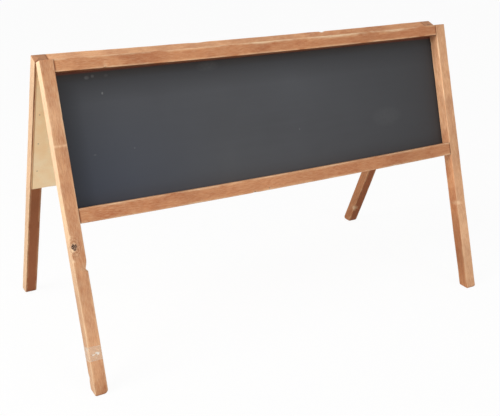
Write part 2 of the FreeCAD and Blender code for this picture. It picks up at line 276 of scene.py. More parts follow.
# %% Wood material
def stained_wood():
    wood = Shader("stained_softwood", Specular_IOR_Level=0.14)
    place = wood.attribute("grain")
    worn, tone, end_grain = wood.parts(wood.attribute("marks"))

    ragged = wood.noise(wood.stretched(place, RAGGED), 1.0, detail=3.0)
    knot = wood.add("VectorMath", wood.attribute("knot"), operation="LENGTH", out="Value")
    from_knot = wood.maths("ADD", knot, wood.spread(ragged, 0.3, 0.7, -KNOT_EDGE, KNOT_EDGE))
    push = wood.stretched(GRAIN_PUSH, wood.maths("POWER", 2.718, wood.times(from_knot, PUSH_FADE)))
    bent = wood.add("VectorMath", place, push, operation="ADD")

    figure = wood.noise(wood.stretched(bent, FIGURE), 1.0, detail=2.0, distortion=1.4)
    bands = wood.maths("SINE", wood.times(figure, BANDS_IN_FIGURE))
    fibres = wood.noise(wood.stretched(bent, FIBRES), 1.0, detail=4.0, roughness=0.65)
    pores = wood.noise(wood.stretched(bent, PORES), 1.0, detail=2.0)
    patches = wood.noise(wood.stretched(place, PATCHES), 1.0, detail=5.0, roughness=0.6)

    # Stain soaks in unevenly, and deepest where a face's marks say so, which on under and inner faces is
    # painted shade.
    deep_stain_and_shade = wood.times(worn, -1.0, clamp=True)
    soaked_and_shaded = wood.maths("MAXIMUM", wood.spread(patches, 0.38, 0.64, 0.0, 0.8), deep_stain_and_shade)
    stain = wood.mix(soaked_and_shaded, STAIN, DEEP_STAIN_AND_SHADE)
    stain = wood.lay_on(stain, DEEP_STAIN_AND_SHADE, bands, -0.6, 1.0, 0.0, 0.34)
    pale_fibres = wood.times(wood.spread(fibres, 0.42, 0.70, 0.0, 0.40),
                             wood.spread(deep_stain_and_shade, 0.0, 1.0, 1.0, 0.1))
    stain = wood.mix(pale_fibres, stain, PALE_WOOD)
    stain = wood.lay_on(stain, KNOT_BROWN, pores, 0.58, 0.72, 0.0, 0.38)
    # Pale where corners are worn, and on faces towards the lamp, where the paleness is painted light.
    rubbed = wood.times(wood.maths("MAXIMUM", worn, 0.0),
                        wood.spread(fibres, 0.30, 0.62, 0.45, 1.0), clamp=True)
    stain = wood.mix(rubbed, stain, PALE_WOOD)
    stain = wood.mix(end_grain, stain, END_BROWN)

    # Rings of paler and darker wood round a knot, then its grey, cracked heart.
    swirl = wood.maths("SINE", wood.times(from_knot, RINGS_IN_KNOT))
    around = wood.spread(from_knot, 1.0, 3.4, 1.0, 0.0)
    stain = wood.mix(wood.times(around, wood.spread(swirl, 0.1, 1.0, 0.0, 0.55)), stain, PALE_WOOD)
    stain = wood.mix(wood.times(around, wood.spread(swirl, -0.2, -1.0, 0.0, 0.50)), stain, KNOT_BROWN)
    cracks = wood.noise(wood.stretched(place, CRACKS), 1.0, detail=2.0, distortion=2.5)
    heart = wood.spread(from_knot, 0.80, 1.10, 1.0, 0.0)
    stain = wood.mix(wood.times(heart, 0.75), stain, KNOT_GREY)
    stain = wood.mix(wood.times(heart, wood.spread(cracks, 0.44, 0.485, 0.0, 1.0)), stain, KNOT_DARK)

    shade = wood.add("CombineColor", tone, tone, tone)
    relief = wood.maths("ADD", wood.times(fibres, 0.7), wood.times(pores, 0.5))
    wood.bump(relief, 0.24, 0.0006)
    return wood.finish(wood.mix(1.0, stain, shade, "MULTIPLY"),
                       wood.spread(fibres, 0.3, 0.7, 0.52, 0.72))


WOOD = stained_wood()
print("made", WOOD.name)

# %% [markdown]
# ## Timber bars
#
# A stile or rail could be a box with a bevel, but old timber is not that even: its corners
# are rubbed down by different amounts and chipped, and its ends are eased over. So each bar is
# a skin of rings. Every ring is a rounded rectangle whose corner radius wanders along the bar,
# and the first and last rings close in over the ends. What the wood looks like at each point
# is worked out as the points are made. A rail lies on its side, so its left face is the
# under one and its right face the upper one.

# %% Rings of a bar
LEFT, RIGHT, OUTER, INNER = range(4)
CORNER_STEPS = 4
SIDE_STOPS = (0.05, 0.16, 0.38, 0.62, 0.84, 0.95)
CAP_STEPS = (0.985, 0.95, 0.90, 0.82, 0.72, 0.60, 0.45, 0.25)
NEAR_CORNER = 0.35  # how much of a corner's wear reaches a side's first and last stop
RING_PITCH = 0.004


def wander(along, seed, wave):
    """A smooth wandering value, about -1 to 1, that is the same each run."""
    phases = np.random.default_rng(seed).uniform(0, 2 * math.pi, 5)
    total = sum(math.sin(2 * math.pi * (step + 1) * along / wave + phase) / (step + 1)
                for step, phase in enumerate(phases))
    return total / 1.6


def ring_points(width, depth, radii):
    """A rounded rectangle about the bar's axis, with a radius for each corner: (points, edge)."""
    corners = [(1, 1), (-1, 1), (-1, -1), (1, -1)]
    points, edge = [], []
    for number, (side_x, side_y) in enumerate(corners):
        radius = radii[number]
        centre = (side_x * (width / 2 - radius), side_y * (depth / 2 - radius))
        for step in range(CORNER_STEPS + 1):
            turn = math.pi / 2 * (number + step / CORNER_STEPS)
            points.append((centre[0] + radius * math.cos(turn), centre[1] + radius * math.sin(turn)))
            edge.append(1.0)
        follower = (number + 1) % 4
        far_x, far_y = corners[follower]
        far_radius = radii[follower]
        begin = np.array(points[-1])
        if number % 2 == 0:
            end = np.array((far_x * (width / 2 - far_radius), far_y * depth / 2))
        else:
            end = np.array((far_x * width / 2, far_y * (depth / 2 - far_radius)))
        for stop in SIDE_STOPS:
            points.append(tuple(begin + (end - begin) * stop))
            edge.append(NEAR_CORNER if stop in (SIDE_STOPS[0], SIDE_STOPS[-1]) else 0.0)
    return np.array(points), np.array(edge)


def facing(across, through):
    """Which of a bar's four long faces a point is on."""
    if abs(across) > abs(through):
        return LEFT if across < 0 else RIGHT
    return OUTER if through < 0 else INNER


print("a ring has", len(ring_points(0.033, 0.030, [0.002] * 4)[0]), "points")

# %% [markdown]
# A chip is a small hollow at one corner of the bar. It is given by how far along it is, which
# corner it bites, its length (and another length for its far side, where that is steeper) and
# its depth, and it leaves bare, pale wood behind. A knot is given by its middle on the outer
# face, its half sizes and how far it stands proud. A patch changes the tone and the bareness
# of one face, or of all four, over a stretch of the bar; some patches are painted shade.

# %% Chips, knots and patches
CHIP_STEEP, CHIP_REACH, CHIP_SHARE = 2.5, 2.2, 0.7
CHIP_BARE = 1.6  # bareness for each part of a chip's full bite
FACE_ZONE = 0.42  # past this part of the depth, a point is on the outer face
FAR_FROM_KNOTS = (9.0, 9.0, 9.0)  # the way from the nearest knot, on a bar without one
TONE_SWING, TONE_WAVE = 0.05, 0.35


def bite_chips(chips, across, through, along, width, depth, worn):
    """A point moved into each chip that reaches it: (across, through, worn)."""
    for chip in chips:
        side_x, side_y = chip["corner"]
        past = along - chip["along"]
        reach = chip.get("after", chip["length"]) if past > 0 else chip["length"]
        from_corner = math.hypot(across - side_x * width / 2, through - side_y * depth / 2)
        fall = CHIP_STEEP * (past / reach) ** 2 + (from_corner / (CHIP_REACH * chip["depth"])) ** 2
        bite = math.exp(-fall)
        across -= side_x * chip["depth"] * bite * CHIP_SHARE
        through -= side_y * chip["depth"] * bite * CHIP_SHARE
        worn = max(worn, min(1.0, CHIP_BARE * bite) * chip.get("pale", 0.9))
    return across, through, worn


def raise_knots(knots, across, through, along, depth):
    """A point lifted by the knots near it, and the way from the nearest: (through, way)."""
    nearest = FAR_FROM_KNOTS
    for knot in knots:
        half_across, half_along = knot["half"]
        way = ((across - knot["across"]) / half_across, (along - knot["along"]) / half_along,
               (through + depth / 2) / half_across)
        nearest = min(nearest, way, key=lambda place: math.hypot(*place))
        if through < -depth * FACE_ZONE:
            through -= math.exp(-0.5 * (way[0] ** 2 + way[1] ** 2)) * knot["bulge"]
    return through, nearest


def tone_and_bareness(look, side, along):
    """How light the wood is at a place along one face, and its bareness, with each face's painted light
    and shade.
    """
    swing = 1 + TONE_SWING * wander(along, look["seed"] + 9, TONE_WAVE)
    tone, bare_light_and_shade = look["tone"] * look["faces"][side] * swing, look["bare_light_and_shade"][side]
    for patch in look["patches"]:
        if patch.get("side", side) == side:
            near = math.exp(-((along - patch["along"]) / patch["length"]) ** 2)
            tone *= 1 + (patch["tone"] - 1) * near
            bare_light_and_shade += patch.get("bare_light_and_shade", 0.0) * near
    return tone, bare_light_and_shade


print("a chip fades to", round(math.exp(-CHIP_STEEP), 2), "of its depth at its own length")

# %% A whole bar
WEAR_MEAN, WEAR_SWING, WEAR_WAVE = 0.55, 0.45, 0.21  # how a corner's wear wanders along a bar
RADIUS_SWING, RADIUS_WAVE = 0.45, 0.33  # and how its radius does
LEAST_WORN = 0.04


def make_bar(name, which, centre, width, depth, start, length, direction, look, sag=0.0):
    """A bar along `direction` ("x" or "z") of a frame, skinned with rings.

    look holds: seed, corner radius, worn corners, tone, the tone and the bareness of each face
    (partly painted light and shade: below zero is deeper stain and painted shade), chips,
    patches, knots, and the two ends as functions that give how far each end stops short at a point of
    the ring.
    """
    seed, count = look["seed"], max(int(length / RING_PITCH), 2)
    rng = np.random.default_rng(seed)
    offset = rng.uniform(0, 5, 3)
    places, attributes, faces = [], {"grain": [], "marks": [], "knot": []}, []

    def put(across, through, along, edge, end):
        wear = WEAR_MEAN + WEAR_SWING * wander(along, seed + 5, WEAR_WAVE)
        worn = look["worn"] * edge * wear
        across, through, worn = bite_chips(look["chips"], across, through, along, width, depth, worn)
        through, from_knot = raise_knots(look["knots"], across, through, along, depth)
        tone, bare_light_and_shade = tone_and_bareness(look, facing(across / width, through / depth), along)
        droop = -sag * (1 - (2 * along / length - 1) ** 2)
        if direction == "z":
            places.append((centre[0] + across, centre[1] + through, start - along))
        else:
            places.append((start + along, centre[1] + through, centre[2] + across + droop))
        attributes["grain"].append((across + offset[0], through + offset[1], along + offset[2]))
        worn = max(bare_light_and_shade, 0.0) + worn if worn > LEAST_WORN else bare_light_and_shade
        attributes["marks"].append((min(max(worn, -1.0), 1.0), tone, end * look["end_grain"]))
        attributes["knot"].append(from_knot)
        return len(places) - 1

    def ring(part, shrink, end):
        """One ring: `part` of the way along, shrunk towards the middle over an end."""
        along = part * length
        radii = [look["radius"] * (1 + RADIUS_SWING * wander(along, seed + corner, RADIUS_WAVE))
                 for corner in range(4)]
        points, edge = ring_points(width, depth, radii)
        numbers = []
        for (across, through), near_edge in zip(points * shrink, edge):
            low = look["near_end"](across, through, width, depth)
            high = length - look["far_end"](across, through, width, depth)
            place = low + part * (high - low)
            numbers.append(put(across, through, place, near_edge if end < 0.5 else 0.0, end))
        return numbers

    rings = [ring(0.0, shrink, 1.0) for shrink in reversed(CAP_STEPS)]
    rings += [ring(step / count, 1.0, 0.0) for step in range(count + 1)]
    rings += [ring(1.0, shrink, 1.0) for shrink in CAP_STEPS]
    for first, second in zip(rings, rings[1:]):
        for number in range(len(first)):
            follower = (number + 1) % len(first)
            faces.append((first[number], first[follower], second[follower], second[number]))
    faces += [tuple(reversed(rings[0])), tuple(rings[-1])]
    return finish_mesh(name, which, places, faces, attributes, [WOOD])


print("rings stand", 1000 * RING_PITCH, "mm apart, and", len(CAP_STEPS), "more close each end")

# %% [markdown]
# Every mesh made from upright coordinates ends the same way: stood in place, its attributes
# written, its faces turned outwards, and one object at the origin that rides on its frame.

# %% Meshes from upright coordinates
def finish_mesh(name, which, places, faces, attributes, materials, face_materials=None):
    mesh = bpy.data.meshes.new(name)
    mesh.from_pydata(stand(places, which).tolist(), [], faces)
    for title, values in attributes.items():
        layer = mesh.attributes.new(title, "FLOAT_VECTOR", "POINT")
        layer.data.foreach_set("vector", np.asarray(values, np.float32).ravel())
    for material in materials:
        mesh.materials.append(material)
    if face_materials is not None:
        mesh.polygons.foreach_set("material_index", face_materials)
    work = bmesh.new()
    work.from_mesh(mesh)
    bmesh.ops.recalc_face_normals(work, faces=work.faces)
    work.to_mesh(mesh)
    work.free()
    mesh.shade_smooth()
    piece = bpy.data.objects.new(name, mesh)
    bpy.context.scene.collection.objects.link(piece)
    return piece


def settle(piece, which, slot, *nodes):
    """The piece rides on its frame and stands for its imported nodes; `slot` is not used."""
    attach(piece, BODY[which])
    if nodes:
        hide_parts(*nodes)
    print(piece.name, "has", len(piece.data.polygons), "faces")


print("pieces ride on", " or ".join(BODY.values()))

# %% [markdown]
# ## The ends
#
# A rail's ends are butted against the stiles, so they are cut square and only just eased. A
# stile's top is square and rubbed round. Its foot is sawn to lie flat on the floor when the
# frame leans, so it stops short by the slope of the lean, and dragging has rounded its lower
# edges, on some feet much more than on others.

# %% End shapes
BUTT_EASE, TOP_EASE = 0.0006, 0.0016
MOST_ROUND = 1.05  # where rounded edges meet, how far they drop, in the largest radius


def quarter_drop(inset, radius):
    """How far a rounded edge has dropped away at a distance in from the side."""
    if inset >= radius:
        return 0.0
    return radius - math.sqrt(max(radius ** 2 - (radius - inset) ** 2, 0.0))


def eased(radius):
    def end(across, through, width, depth):
        return quarter_drop(min(width / 2 - abs(across), depth / 2 - abs(through)), radius)
    return end


def foot(heel_round, toe_round, left_round, right_round):
    """A sawn foot, flat on the floor, with a radius for each of its four lower edges."""
    def end(across, through, width, depth):
        slope = (through + depth / 2) * math.tan(LEAN)
        rounds = ((depth / 2 - through, heel_round), (depth / 2 + through, toe_round),
                  (width / 2 + across, left_round), (width / 2 - across, right_round))
        drop = sum(quarter_drop(inset, radius) for inset, radius in rounds)
        return slope + min(drop, MOST_ROUND * max(radius for inset, radius in rounds))
    return end


print("a 4 mm round has dropped", round(1000 * quarter_drop(0.001, 0.004), 1), "mm at 1 mm in")

# %% [markdown]
# ## The stiles
#
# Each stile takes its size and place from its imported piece. What makes one different from the
# next is its look: how dark the wood is, where it is chipped and where it has a knot.

# %% How each stile looks
OUTSIDE_LEFT, OUTSIDE_RIGHT = (-1, -1), (1, -1)

# The tone and bareness given for each face are partly painted light and shade: lighter and paler on the
# side faces towards the lamp, darker and deeper on the inner faces in shade.
STILE_LOOKS = {
    "front_left_stile": dict(
        seed=11, tone=1.0, faces=(1.04, 1.0, 1.0, 0.9), bare_light_and_shade=(1.0, 0.2, 0.12, 0.0),
        foot=(0.004, 0.005, 0.004, 0.011),
        knots=[dict(across=-0.0085, along=0.431, half=(0.0060, 0.0088), bulge=0.0012)],
        chips=[dict(along=0.489, corner=OUTSIDE_RIGHT, length=0.022, after=0.0015, depth=0.0056,
                    pale=0.3),
               dict(along=0.135, corner=OUTSIDE_RIGHT, length=0.006, depth=0.0012),
               dict(along=0.405, corner=OUTSIDE_LEFT, length=0.010, depth=0.0018),
               dict(along=0.440, corner=OUTSIDE_LEFT, length=0.012, after=0.005, depth=0.0026),
               dict(along=0.463, corner=OUTSIDE_LEFT, length=0.006, depth=0.0022),
               dict(along=0.62, corner=OUTSIDE_LEFT, length=0.13, depth=0.0010, pale=1.0),
               dict(along=0.745, corner=(-1, 1), length=0.008, after=0.010, depth=0.0018, pale=0.0)],
        patches=[dict(along=0.0, length=0.06, tone=0.95, side=OUTER),
                 dict(along=0.13, length=0.045, tone=1.05, bare_light_and_shade=0.16, side=OUTER),
                 dict(along=0.197, length=0.0026, tone=1.12, bare_light_and_shade=0.45, side=OUTER),
                 dict(along=0.62, length=0.10, tone=1.06, bare_light_and_shade=0.10, side=OUTER),
                 dict(along=0.0, length=0.22, tone=1.09, side=LEFT),
                 dict(along=0.66, length=0.20, tone=0.80, bare_light_and_shade=-0.60, side=LEFT),
                 dict(along=0.778, length=0.026, tone=0.86, bare_light_and_shade=-0.15, side=OUTER)]),
    "front_right_stile": dict(
        seed=12, tone=1.02, faces=(1.40, 0.95, 1.0, 0.9), bare_light_and_shade=(0.32, 0.1, 0.26, 0.0),
        foot=(0.003, 0.004, 0.003, 0.006), worn=0.24,
        chips=[dict(along=0.528, corner=OUTSIDE_LEFT, length=0.011, after=0.006, depth=0.0055, pale=0.6),
               dict(along=0.07, corner=OUTSIDE_LEFT, length=0.050, depth=0.0010, pale=0.7),
               dict(along=0.20, corner=OUTSIDE_LEFT, length=0.030, depth=0.0008, pale=0.6),
               dict(along=0.050, corner=(-1, 1), length=0.004, depth=0.0022, pale=1.0)],
        patches=[dict(along=0.0, length=0.06, tone=0.86, bare_light_and_shade=-0.30, side=LEFT),
                 dict(along=0.62, length=0.12, tone=1.07, bare_light_and_shade=0.16, side=OUTER),
                 dict(along=0.77, length=0.04, tone=0.98, side=OUTER),
                 # painted shade on the inner face below the bottom rail
                 dict(along=0.67, length=0.24, tone=0.60, bare_light_and_shade=-0.9, side=LEFT)]),
    "rear_left_stile": dict(
        seed=13, tone=0.82, faces=(0.9, 1.14, 0.9, 0.82), bare_light_and_shade=(0.0, 0.85, 0.0, -0.9),
        foot=(0.005, 0.004, 0.004, 0.004),
        chips=[dict(along=0.30, corner=(1, 1), length=0.05, depth=0.0012)],
        # painted shade in the crevice beside the board
        patches=[dict(along=0.14, length=0.19, tone=0.90, side=INNER)]),
    "rear_right_stile": dict(
        seed=14, tone=0.88, faces=(1.1, 1.06, 0.95, 0.82), bare_light_and_shade=(0.3, -0.45, 0.0, -1.0),
        foot=(0.004, 0.010, 0.005, 0.006), worn=0.15, end_grain=0.9,
        chips=[dict(along=0.715, corner=(1, 1), length=0.012, depth=0.0034)]),
}
print("chips on the stiles:", sum(len(look["chips"]) for look in STILE_LOOKS.values()))

# %% Make the stiles
RUBBED = 0.55  # how pale a bar's corners have been rubbed
FOOT_SHADE = 0.0035  # how far the painted shade at the floor reaches up a foot


def add_look(look, near_end, far_end, radius=0.0017, worn=RUBBED):
    plain = dict(knots=[], chips=[], patches=[], end_grain=1.0, radius=radius, worn=worn)
    return plain | look | dict(near_end=near_end, far_end=far_end)


def floor_under(y):
    """Where the floor is, in upright coordinates, below a point through the timber."""
    return (y * math.sin(LEAN) - AXIS_HEIGHT) / math.cos(LEAN)


def make_stile(name, which, look):
    low, high = upright_box(name, which)
    centre = (low + high) / 2
    width, depth = high[0] - low[0], high[1] - low[1]
    length = high[2] - floor_under(low[1])
    # painted shade where each foot meets the floor
    foot_shade = [dict(along=high[2] - floor_under(y), length=FOOT_SHADE, tone=0.62, side=side)
            for side, y in ((OUTER, low[1]), (INNER, high[1]))]
    look = dict(look, patches=look.get("patches", []) + foot_shade)
    bar = make_bar(name + "_worn", which, centre, width, depth, high[2], length, "z",
                   add_look(look, eased(TOP_EASE), foot(*look["foot"])))
    settle(bar, which, "timber", name)


for name, look in STILE_LOOKS.items():
    make_stile(name, name.split("_")[0], look)

# %% [markdown]
# ## The rails
#
# The rails are bars too, laid along x. They have carried the board for years, so the middle
# of each has sagged a few millimetres, and their upper corners are chipped where hands and
# other boards have knocked them. Where they meet the stiles they are darker, painted shade in
# the joints.

# %% How each rail looks
UNDER_OUTSIDE, OVER_OUTSIDE = (-1, -1), (1, -1)

# The tone and bareness of each face are partly painted light and shade here too: the under (left) face
# is darker and deeper, the upper (right) face lighter and paler.
RAIL_LOOKS = {
    "front_top_rail": dict(
        seed=21, tone=1.03, faces=(0.62, 1.1, 1.0, 0.9), bare_light_and_shade=(-1.0, 0.38, -0.36, 0.0),
        chips=[dict(along=0.122, corner=UNDER_OUTSIDE, length=0.008, depth=0.0032, pale=0.5),
               dict(along=0.56, corner=OVER_OUTSIDE, length=0.05, depth=0.0016),
               dict(along=0.80, corner=OVER_OUTSIDE, length=0.12, depth=0.0020),
               dict(along=1.00, corner=OVER_OUTSIDE, length=0.06, depth=0.0024),
               dict(along=0.93, corner=UNDER_OUTSIDE, length=0.02, depth=0.0012)],
        patches=[dict(along=0.0, length=0.22, tone=0.97, bare_light_and_shade=0.14, side=OUTER),
                 dict(along=1.05, length=0.45, tone=0.94, bare_light_and_shade=-0.18, side=OUTER)]),
    "front_bottom_rail": dict(
        seed=22, tone=1.03, faces=(0.8, 1.05, 1.0, 0.9), bare_light_and_shade=(-0.5, 0.1, -0.34, 0.0),
        knots=[dict(across=-0.0168, along=0.474, half=(0.0026, 0.0040), bulge=0.0),
               dict(across=-0.0130, along=0.519, half=(0.0016, 0.0018), bulge=0.0)],
        chips=[dict(along=0.474, corner=UNDER_OUTSIDE, length=0.008, depth=0.0022, pale=0.0),
               dict(along=0.94, corner=UNDER_OUTSIDE, length=0.010, depth=0.0018, pale=0.3)],
        patches=[dict(along=0.0, length=0.2, tone=0.98, bare_light_and_shade=0.15, side=OUTER),
                 dict(along=1.05, length=0.35, tone=0.90, bare_light_and_shade=-0.10, side=OUTER)]),
    "rear_top_rail": dict(
        seed=23, tone=1.02, faces=(0.7, 1.10, 1.0, 0.9), bare_light_and_shade=(-0.5, 0.22, 0.0, 0.0),
        chips=[dict(along=0.36, corner=OVER_OUTSIDE, length=0.010, depth=0.0028),
               dict(along=0.20, corner=(1, 1), length=0.008, depth=0.0022),
               dict(along=0.75, corner=OVER_OUTSIDE, length=0.04, depth=0.0014)],
        patches=[dict(along=0.0, length=0.45, tone=0.94, bare_light_and_shade=-0.35)]),
    "rear_bottom_rail": dict(
        seed=24, tone=0.95, faces=(0.8, 1.05, 1.0, 0.9), bare_light_and_shade=(-0.5, 0.1, -0.1, -0.3),
        chips=[dict(along=0.7, corner=UNDER_OUTSIDE, length=0.02, depth=0.0016)]),
}
print("chips on the rails:", sum(len(look["chips"]) for look in RAIL_LOOKS.values()))

# %% Make the rails
RAIL_SAG, RAIL_RUBBED = 0.004, 0.7
# painted shade in the joints where a rail meets the stiles: how dark, and how far it reaches
JOINT_SHADE, JOINT_REACH = 0.45, 0.0022


def make_rail(name, which, look):
    low, high = upright_box(name, which)
    centre, length = (low + high) / 2, high[0] - low[0]
    joints = [dict(along=end, length=JOINT_REACH, tone=JOINT_SHADE, bare_light_and_shade=-1.0) for end in (0.0, length)]
    look = dict(look, patches=look.get("patches", []) + joints)
    bar = make_bar(name + "_worn", which, centre, high[2] - low[2], high[1] - low[1], low[0], length,
                   "x", add_look(look, eased(BUTT_EASE), eased(BUTT_EASE), worn=RAIL_RUBBED),
                   sag=RAIL_SAG)
    settle(bar, which, "timber", name)


for name, look in RAIL_LOOKS.items():
    make_rail(name, name.split("_")[0], look)

# %% [markdown]
# ## Blackboard paint and raw fibreboard
#
# The outer face of each sheet is rolled with dull blackboard paint. Dust wiped into it makes
# it a little cloudy, it is darker beside the stiles and darkest in under the top rail, which
# is painted shade, and a few old smudges of chalk are left. The back and the edges are bare
# brown fibreboard, with short pressed fibres, darker where the saw went. The sheet carries an
# attribute `panel` (along, down, side) in metres, so that both materials know where they are on it.

# %% Board colours and smudges
PAINT_DARK, PAINT_MIDDLE, PAINT_DUSTY = colour(43, 43, 45), colour(61, 62, 66), colour(74, 76, 80)
PAINT_BLUE, PAINT_CORNER, CHALK = colour(56, 62, 75), colour(20, 22, 26), colour(170, 172, 170)
# Painted shade just under the top rail: a reddish-brown band at its edge, then dark brown.
BROWN_RAIL_SHADE, RAIL_SHADE = colour(96, 46, 28), colour(44, 38, 33)
FIBRE_TAN, FIBRE_LIGHT, FIBRE_BROWN = colour(252, 222, 178), colour(254, 234, 198), colour(222, 178, 130)
FIBRE_EDGE = colour(170, 124, 84)

# How much of a sheet's edges the timber covers, and a little more for the shade. Then the
# shades beside the left stile and under the top rail: (colour, reach, strength).
STILE_COVER, RAIL_COVER = 0.035, 0.032
LEFT_SHADES = ((PAINT_CORNER, 0.16, 0.22), (PAINT_CORNER, 0.055, 0.42))
TOP_SHADES = ((PAINT_DARK, 0.078, 0.80), (RAIL_SHADE, 0.024, 0.75))
BROWN_SHADE_BAND = (0.0325, 0.0360)  # where the reddish-brown painted shade lies on the sheet, just under the rail's edge
SAWN_EDGE = (0.0042, 0.0026)  # how far in the saw darkened the fibreboard, and where it is darkest

# Smudges of chalk: (along, down, half width, half height, strength), in metres.
SMUDGES = ((-0.495, 0.046, 0.0075, 0.0050, 0.17), (-0.480, 0.044, 0.0050, 0.0045, 0.14),
           (-0.446, 0.045, 0.0060, 0.0040, 0.07),
           (-0.172, 0.048, 0.036, 0.014, 0.05), (0.38, 0.24, 0.06, 0.03, 0.04),
           (-0.462, 0.086, 0.0030, 0.0038, 0.42), (-0.505, 0.228, 0.0045, 0.0025, 0.14),
           (-0.402, 0.225, 0.0030, 0.0026, 0.16), (0.079, 0.240, 0.0030, 0.0040, 0.22))
print("smudges of chalk:", len(SMUDGES))


# %% Blackboard paint
def blackboard_paint(half_width, height):
    paint = Shader("blackboard_paint", Specular_IOR_Level=0.30)
    panel = paint.attribute("panel")
    along, down, side = paint.parts(panel)
    clouds = paint.noise(panel, 3.2, detail=3.0)
    wiped = paint.noise(paint.stretched(panel, (5.0, 70.0, 1.0)), 1.0, detail=4.0, roughness=0.6)
    grit = paint.noise(panel, 900.0, detail=2.0)
    tint = paint.mix(paint.spread(clouds, 0.30, 0.70), PAINT_MIDDLE, PAINT_DUSTY)
    tint = paint.lay_on(tint, PAINT_DUSTY, wiped, 0.40, 0.75, 0.0, 0.22)
    blue = paint.times(paint.spread(along, -half_width * 0.90, -half_width * 0.25, 1.0, 0.0),
                       paint.spread(down, height * 0.30, height * 0.8, 0.2, 0.9))
    tint = paint.mix(blue, tint, PAINT_BLUE)
    tint = paint.lay_on(tint, PAINT_DARK, along, half_width * 0.1, half_width * 0.85, 0.0, 0.62)

    # Painted shade: down the left and right sides beside the stiles, then in under the top rail, with a
    # reddish-brown band right under its edge.
    left_end, right_end = STILE_COVER - half_width, half_width - STILE_COVER
    for shade, reach, amount in LEFT_SHADES:
        tint = paint.lay_on(tint, shade, along, left_end, left_end + reach, amount, 0.0)
    tint = paint.lay_on(tint, PAINT_DARK, along, right_end - 0.050, right_end + 0.005, 0.0, 0.35)
    for shade, reach, amount in TOP_SHADES:
        tint = paint.lay_on(tint, shade, down, RAIL_COVER, RAIL_COVER + reach, amount, 0.0)
    tint = paint.lay_on(tint, BROWN_RAIL_SHADE, down, *BROWN_SHADE_BAND, 0.82, 0.0)

    rubbed = paint.noise(paint.stretched(panel, (130.0, 110.0, 1.0)), 1.0, detail=5.0, roughness=0.75)
    for middle, depth_down, half_long, half_high, strength in SMUDGES:
        across = paint.maths("DIVIDE", paint.maths("SUBTRACT", along, middle), half_long)
        below = paint.maths("DIVIDE", paint.maths("SUBTRACT", down, depth_down), half_high)
        away = paint.maths("ADD", paint.times(across, across), paint.times(below, below))
        smudge = paint.times(paint.spread(away, 0.0, 1.0, strength, 0.0),
                             paint.spread(rubbed, 0.34, 0.62, 0.25, 1.0))
        tint = paint.mix(smudge, tint, CHALK)
    paint.bump(grit, 0.12, 0.0004)
    return paint.finish(tint, paint.spread(clouds, 0.3, 0.7, 0.60, 0.72))


board_low, board_high = upright_box("front_board", "front")
HALF_SHEET, SHEET_HEIGHT = (board_high[0] - board_low[0]) / 2, board_high[2] - board_low[2]
PAINT = blackboard_paint(HALF_SHEET, SHEET_HEIGHT)
print("made", PAINT.name, "for a sheet", round(2 * HALF_SHEET, 3), "by", round(SHEET_HEIGHT, 3), "m")


# %% Raw fibreboard
def raw_fibreboard(half_width):
    fibre = Shader("raw_fibreboard", Specular_IOR_Level=0.2)
    panel = fibre.attribute("panel")
    mottle = fibre.noise(panel, 22.0, detail=5.0, roughness=0.6)
    flecks = fibre.noise(fibre.stretched(panel, (520.0, 760.0, 600.0)), 1.0, detail=4.0, roughness=0.7)
    tint = fibre.mix(fibre.spread(mottle, 0.35, 0.65), FIBRE_TAN, FIBRE_LIGHT)
    tint = fibre.lay_on(tint, FIBRE_BROWN, flecks, 0.55, 0.75, 0.0, 0.45)
    from_middle = fibre.maths("ABSOLUTE", fibre.parts(panel)[0])
    sawn_from, sawn_to = (half_width - inset for inset in SAWN_EDGE)
    tint = fibre.lay_on(tint, FIBRE_EDGE, from_middle, sawn_from, sawn_to, 0.0, 0.8)
    fibre.bump(flecks, 0.2, 0.0005)
    return fibre.finish(tint, fibre.spread(flecks, 0.3, 0.7, 0.75, 0.9))


FIBRE = raw_fibreboard(HALF_SHEET)
print("made", FIBRE.name)

# %% [markdown]
# ## The boards
#
# Each board is one sheet of fibreboard on the inner side of its frame. A box would do for
# it, but a box can't sag. So a sheet is a grid of points on each face, joined round the
# edges. The saw left its edges slightly uneven and its top a little narrow, and it sags less
# than the rails.

# %% Boards
BOARD_SAG = 0.0016
SIDE_TRIM, SIDE_TAPER = 0.0004, 0.0018
SIDE_RAGGED, FOOT_RAGGED = 0.0005, 0.0006  # how uneven the saw left the sheet's edges
COLUMNS, ROWS = 160, 52
SHEET_SEEDS = {"front": 31, "rear": 32}
PAINTED, BARE = 0, 1  # a sheet's two materials
BACK_SHIFT = 0.004  # the back's own place in its patterns


